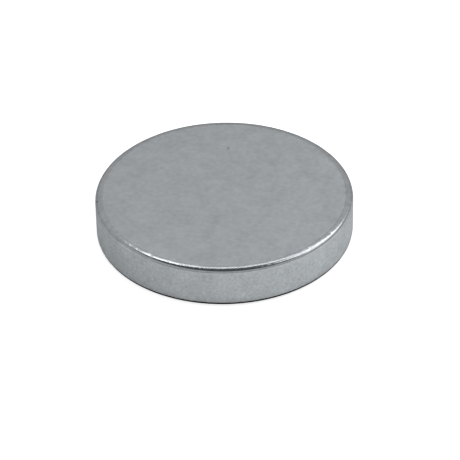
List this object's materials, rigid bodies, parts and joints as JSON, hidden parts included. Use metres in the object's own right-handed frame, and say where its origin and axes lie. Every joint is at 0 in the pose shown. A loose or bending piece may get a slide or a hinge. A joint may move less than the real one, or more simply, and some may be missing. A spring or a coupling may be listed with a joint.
{
  "type": "disc magnet",
  "caption": "Plain round disc magnet with flat pole faces, a straight wall and small rounded rims, plated in satin grey metal.",
  "frame": {"origin": "centre of the lower pole face, on the surface that the magnet lies on", "axes": "+Z along the disc's axis, from the lower pole face to the upper one; +X to the right and +Y away from the viewer, which a round disc can't tell apart"},
  "size_m": [0.03, 0.03, 0.005],
  "materials": {
    "plating": "satin metal plating, burnished bright along the rims"
  },
  "bodies": {
    "root": {"disc_magnet": "plating"}
  },
  "joints": []
}
